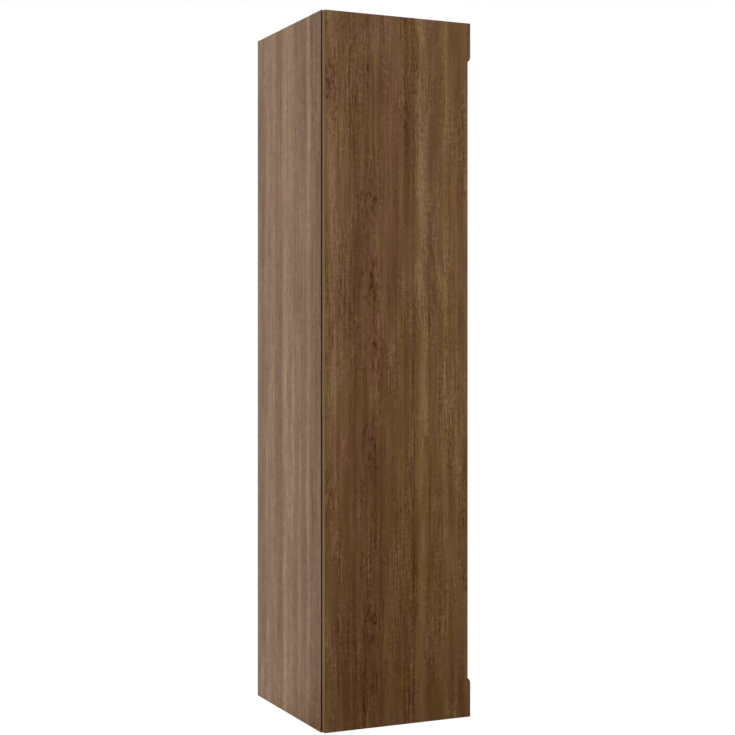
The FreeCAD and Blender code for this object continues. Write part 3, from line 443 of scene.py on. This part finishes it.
cams_low, cams_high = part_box("cam_locks")
cap_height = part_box("fixed_shelf")[0].z - SEAT_PLAY
for side, x in (("left", cams_low.x + CAM_RADIUS), ("right", cams_high.x - CAM_RADIUS)):
    for depth, y in (("front", cams_low.y + CAM_RADIUS), ("rear", cams_high.y - CAM_RADIUS)):
        bpy.ops.object.select_all(action="DESELECT")
        cap.select_set(True)
        bpy.context.view_layer.objects.active = cap
        bpy.ops.object.duplicate()
        cover = bpy.context.object
        cover.name = side + "_" + depth + "_cam_cover"
        cover.location = (x, y, cap_height)
        bpy.ops.object.transform_apply()
        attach(cover, "carcass")
bpy.data.objects.remove(cap)

# Hinge springs: flat leaves of spring steel, which hardening has left blue-grey.
# Each lies on the floor of its hinge cup and holds the door shut.

spring_steel = plated_metal("spring_steel", "#5E6266", "#7A7F84", roughness=0.3, marks_mm=1.5)
dress(spring_steel, "hinge_springs")

# Back panel: thin hardboard that slides in a groove. Its inside has the walnut print, and the
# side towards the wall is the bare pressed fibre.

PANEL_CUT = (0.0, 1.9, 0.6)
# Bundles of fibre are about a millimetre thick, and are drawn coarser here so that they show
BUNDLE_MM = 6.0
CLOUD_MM = 80.0
BUNDLE_SHARE = 0.75
material, tree, coordinates = new_material("walnut_hardboard")
colour, tone, pores = walnut_print(tree, coordinates, UPRIGHT, PANEL_CUT)
facing = add(tree, "ShaderNodeSeparateXYZ", {}, {"Vector": coordinates["Normal"]})
inside = add(tree, "ShaderNodeMath", {"operation": "LESS_THAN"}, {0: facing.outputs["Y"], 1: -FACING_SHARE})
bundles = streaks(tree, coordinates["Object"], BUNDLE_MM, BUNDLE_MM, 3.0)
clouds = streaks(tree, coordinates["Object"], CLOUD_MM, CLOUD_MM, 2.0)
pressed = add(tree, "ShaderNodeMix", {}, {0: BUNDLE_SHARE, 2: clouds, 3: bundles})
stops = [(0.36, linear("#6E4A2B")), (0.50, linear("#84603B")), (0.64, linear("#A07850"))]
fibre = add(tree, "ShaderNodeValToRGB", {"stops": stops}, {"Fac": pressed})
mix = add(tree, "ShaderNodeMix", {"data_type": "RGBA"}, {0: inside, 6: fibre, 7: colour})
finish_melamine(tree, mix.outputs[2], tone, pores, inside)
dress(material, "back_panel")

# Wall rail: a strip of the faced chipboard behind the back panel, dowelled to the sides.
# Screws through its two holes hold the cabinet to the wall at the bottom.

RAIL_CUT = (0.0, 2.6, 5.1)
dress(faced_board("walnut_melamine_wall_rail", LYING, RAIL_CUT, (0.0, 1.0, 1.0), sawn_chipboard),
      "wall_rail")

# Hangers: a moulded housing in each upper corner, with a steel hook that comes out through the back.
# The plastic is a light grey nylon with a fine moulded grain.

grey_nylon = moulded_plastic("moulded_grey_nylon", "#8A8D90", "#989B9E", roughness=0.42, grain_mm=0.6)
dress(grey_nylon, "left_hanger_housing", "right_hanger_housing")

# Hooks and wall plates: pressed steel with bright zinc plating, which is a little blue and cloudy.
# The hooks hang behind the lips of the plates, which are screwed to the wall.

zinc = plated_metal("bright_zinc_plated_steel", "#A4A9AE", "#C0C4C8", roughness=0.36, marks_mm=4.0)
dress(zinc, "left_hanger_hook", "right_hanger_hook", "left_wall_plate", "right_wall_plate")

# Door: one board with the print on both faces, edged all round with rounded arrises.
# The finger pull is milled into its right edge. The bands and knots follow the photographed board.

DOOR_PLACES = (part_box("door_panel")[0].x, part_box("door_panel")[1].x)
# Tone of the print at shares of the way from the left edge to the right
DOOR_BANDS = [
    (0.00, 0.66), (0.03, 0.68), (0.13, 0.54), (0.20, 0.33), (0.25, 0.41), (0.38, 0.47), (0.46, 0.42),
    (0.50, 0.48), (0.59, 0.37), (0.66, 0.75), (0.69, 0.64), (0.72, 0.33), (0.75, 0.52), (0.81, 0.57),
    (1.00, 0.58),
]
# Places of the knots from the middle of the door and up from the ground, in metres
KNOT_PLACES = [(-0.079, 1.275), (-0.079, 1.110), (-0.063, 0.920), (-0.077, 0.694), (-0.074, 0.266),
               (-0.078, 0.090), (-0.190, 1.566), (-0.190, 0.559)]
KNOT_HALF_WIDTH = 42.0 * MM
KNOT_HALF_HEIGHT = 125.0 * MM
# How far a knot pushes the grain aside, the number of rings in it, and how far noise pulls them about
KNOT_SPREAD_SHARE = 0.35
KNOT_RINGS = 2.0
KNOT_RAGGEDNESS = 2.0
RAGGED_WIDTH_MM, RAGGED_LENGTH_MM = 26.0, 95.0
# The rings are broken into strokes of about this size, which begin and are full at these values
BROKEN_WIDTH_MM, BROKEN_LENGTH_MM = 10.0, 36.0
BROKEN_LOW, BROKEN_HIGH = 0.44, 0.60
# A ring is drawn where its wave is higher than this
RING_LOW = 0.3


def door_knots(tree, board):
    """The board's coordinates bent round the knots, how near a knot is, and the dark rings in it."""
    size = (1 / KNOT_HALF_WIDTH, 0.0, 1 / KNOT_HALF_HEIGHT)
    ragged = streaks(tree, board, RAGGED_WIDTH_MM, RAGGED_LENGTH_MM, 2.0)
    broken = add(tree, "ShaderNodeMapRange", {},
                 {"Value": streaks(tree, board, BROKEN_WIDTH_MM, BROKEN_LENGTH_MM, 1.0),
                  "From Min": BROKEN_LOW, "From Max": BROKEN_HIGH})
    bent, near, rings = board, 0.0, 0.0
    for across, along in KNOT_PLACES:
        away = add(tree, "ShaderNodeVectorMath", {"operation": "SUBTRACT"},
                   {0: board, 1: (across, 0.0, along)})
        radius = add(tree, "ShaderNodeVectorMath", {"operation": "MULTIPLY"}, {0: away, 1: size})
        radius = add(tree, "ShaderNodeVectorMath", {"operation": "LENGTH"}, {0: radius}).outputs["Value"]
        close = add(tree, "ShaderNodeMapRange", {"interpolation_type": "SMOOTHSTEP"},
                    {"Value": radius, "From Min": 1.0, "From Max": 0.0})
        aside = add(tree, "ShaderNodeVectorMath", {"operation": "MULTIPLY"},
                    {0: away, 1: (-KNOT_SPREAD_SHARE, 0.0, 0.0)})
        bent = add(tree, "ShaderNodeVectorMath", {"operation": "MULTIPLY_ADD"},
                   {0: aside, 1: close, 2: bent})
        near = add(tree, "ShaderNodeMath", {"operation": "ADD"}, {0: close, 1: near})
        turns = add(tree, "ShaderNodeMath", {"operation": "MULTIPLY_ADD"},
                    {0: ragged, 1: KNOT_RAGGEDNESS, 2: radius})
        turns = add(tree, "ShaderNodeMath", {"operation": "MULTIPLY"},
                    {0: turns, 1: 2 * math.pi * KNOT_RINGS})
        wave = add(tree, "ShaderNodeMath", {"operation": "SINE"}, {0: turns})
        ring = add(tree, "ShaderNodeMapRange", {}, {"Value": wave, "From Min": RING_LOW, "From Max": 1.0})
        rings = add(tree, "ShaderNodeMath", {"operation": "MULTIPLY_ADD"}, {0: ring, 1: close, 2: rings})
    return bent, near, add(tree, "ShaderNodeMath", {"operation": "MULTIPLY"}, {0: rings, 1: broken})


dress(faced_board("walnut_melamine_door", UPRIGHT, (0.0, 0.0, 0.0), (0.0, 1.0, 0.0), walnut_edging,
                  bands=DOOR_BANDS, band_places=DOOR_PLACES, knots=door_knots),
      "door_panel")

# Door bumpers: clear soft domes of cast polyurethane, stuck on the door's back, which take the
# knock when it shuts. The plastic is a little hazy, so what lies behind it shows blurred.

HAZE_MM = 1.0
rubber, tree, coordinates = new_material("clear_polyurethane")
haze = streaks(tree, coordinates["Object"], HAZE_MM, HAZE_MM, 2.0)
blur = add(tree, "ShaderNodeMath", {"operation": "MULTIPLY_ADD"}, {0: haze, 1: 0.2, 2: 0.15})
surface(tree, {"Base Color": linear("#E6EAEA"), "IOR": 1.49, "Transmission Weight": 0.8, "Roughness": blur})
dress(rubber, "door_bumpers")

# Studio: a pale floor, a white world, and large soft lamps on the left, in front and on the right.
# Rays from the camera, and those that metal or clear plastic sends on, see plain white.

FLOOR_WIDTH = 60.0
FLOOR_GREY = "#888888"
FLOOR_WHITE = 1.05
SHADOW_SHARE = 0.04
# Reflections see the floor grow dimmer from under the cabinet towards the front, in metres
DIM_FROM, DIM_TO, DIM_SHARE = 0.25, -0.4, 0.06
AMBIENT_STRENGTH = 0.42
# Each lamp's place, power in watts and width
LAMPS = {
    "left_lamp": ((-4.2, 1.9, 1.2), 206.0, 2.4),
    "front_lamp": ((0.45, -2.6, 1.42), 37.0, 1.2),
    "right_lamp": ((4.2, 1.5, 1.2), 70.0, 2.4),
}


def seen_white(tree):
    """One for rays from the camera, and for those that are reflected or let through."""
    path = add(tree, "ShaderNodeLightPath", {}, {}).outputs
    seen = add(tree, "ShaderNodeMath", {"operation": "MAXIMUM"},
               {0: path["Is Camera Ray"], 1: path["Is Glossy Ray"]})
    return add(tree, "ShaderNodeMath", {"operation": "MAXIMUM"}, {0: seen, 1: path["Is Transmission Ray"]})


bpy.ops.object.select_all(action="DESELECT")
bpy.ops.mesh.primitive_plane_add(size=FLOOR_WIDTH, location=(0.0, 0.0, 0.0))
floor = bpy.context.object
floor.name = "floor"
material, tree, coordinates = new_material("matt_white_floor")
matt = add(tree, "ShaderNodeBsdfDiffuse", {}, {"Color": linear(FLOOR_GREY)})
forward = add(tree, "ShaderNodeSeparateXYZ", {}, {"Vector": coordinates["Object"]}).outputs["Y"]
dimmed = add(tree, "ShaderNodeMapRange", {},
             {"Value": forward, "From Min": DIM_TO, "From Max": DIM_FROM, "To Min": DIM_SHARE})
path = add(tree, "ShaderNodeLightPath", {}, {}).outputs
shine = add(tree, "ShaderNodeMix", {}, {0: path["Is Glossy Ray"], 2: FLOOR_WHITE, 3: dimmed})
white = add(tree, "ShaderNodeEmission", {}, {"Strength": shine})
factor = add(tree, "ShaderNodeMath", {"operation": "MULTIPLY"}, {0: seen_white(tree), 1: 1 - SHADOW_SHARE})
mix = add(tree, "ShaderNodeMixShader", {}, {0: factor, 1: matt, 2: white})
add(tree, "ShaderNodeOutputMaterial", {}, {"Surface": mix})
floor.data.materials.append(material)

world = bpy.data.worlds.new("white_studio")
world.use_nodes = True
tree = world.node_tree
tree.nodes.clear()
ambient = add(tree, "ShaderNodeBackground", {}, {"Color": linear("#FFFFFF"), "Strength": AMBIENT_STRENGTH})
white = add(tree, "ShaderNodeBackground", {}, {"Color": linear("#FFFFFF"), "Strength": 1.0})
mix = add(tree, "ShaderNodeMixShader", {}, {0: seen_white(tree), 1: ambient, 2: white})
add(tree, "ShaderNodeOutputWorld", {}, {"Surface": mix})
bpy.context.scene.world = world

middle = (cad_box[0] + cad_box[1]) / 2
for name, (place, power, width) in LAMPS.items():
    bpy.ops.object.light_add(type="AREA", location=place)
    lamp = bpy.context.object
    lamp.name = name
    lamp.data.energy = power
    lamp.data.size = width
    lamp.visible_glossy = False
    lamp.rotation_euler = (middle - lamp.location).to_track_quat("-Z", "Y").to_euler()

# Camera: level, in front on the left, at about half the cabinet's height.
# The lens and the shift give the photograph's own perspective and framing.

CAMERA_PLACE = (-1.6606, -3.6491, 0.9484)
CAMERA_TURN = 24.710
FOCAL_PIXELS = 1544.2
HORIZON_PIXELS = 340.91
PICTURE_PIXELS = 735
SENSOR_MM = 36.0
bpy.ops.object.camera_add(location=CAMERA_PLACE,
                          rotation=(math.radians(90.0), 0.0, math.radians(-CAMERA_TURN)))
camera = bpy.context.object
camera.data.sensor_width = SENSOR_MM
camera.data.lens = FOCAL_PIXELS / PICTURE_PIXELS * SENSOR_MM
camera.data.shift_y = (HORIZON_PIXELS - PICTURE_PIXELS / 2) / PICTURE_PIXELS
bpy.context.scene.camera = camera
bpy.context.scene.view_settings.view_transform = "Standard"
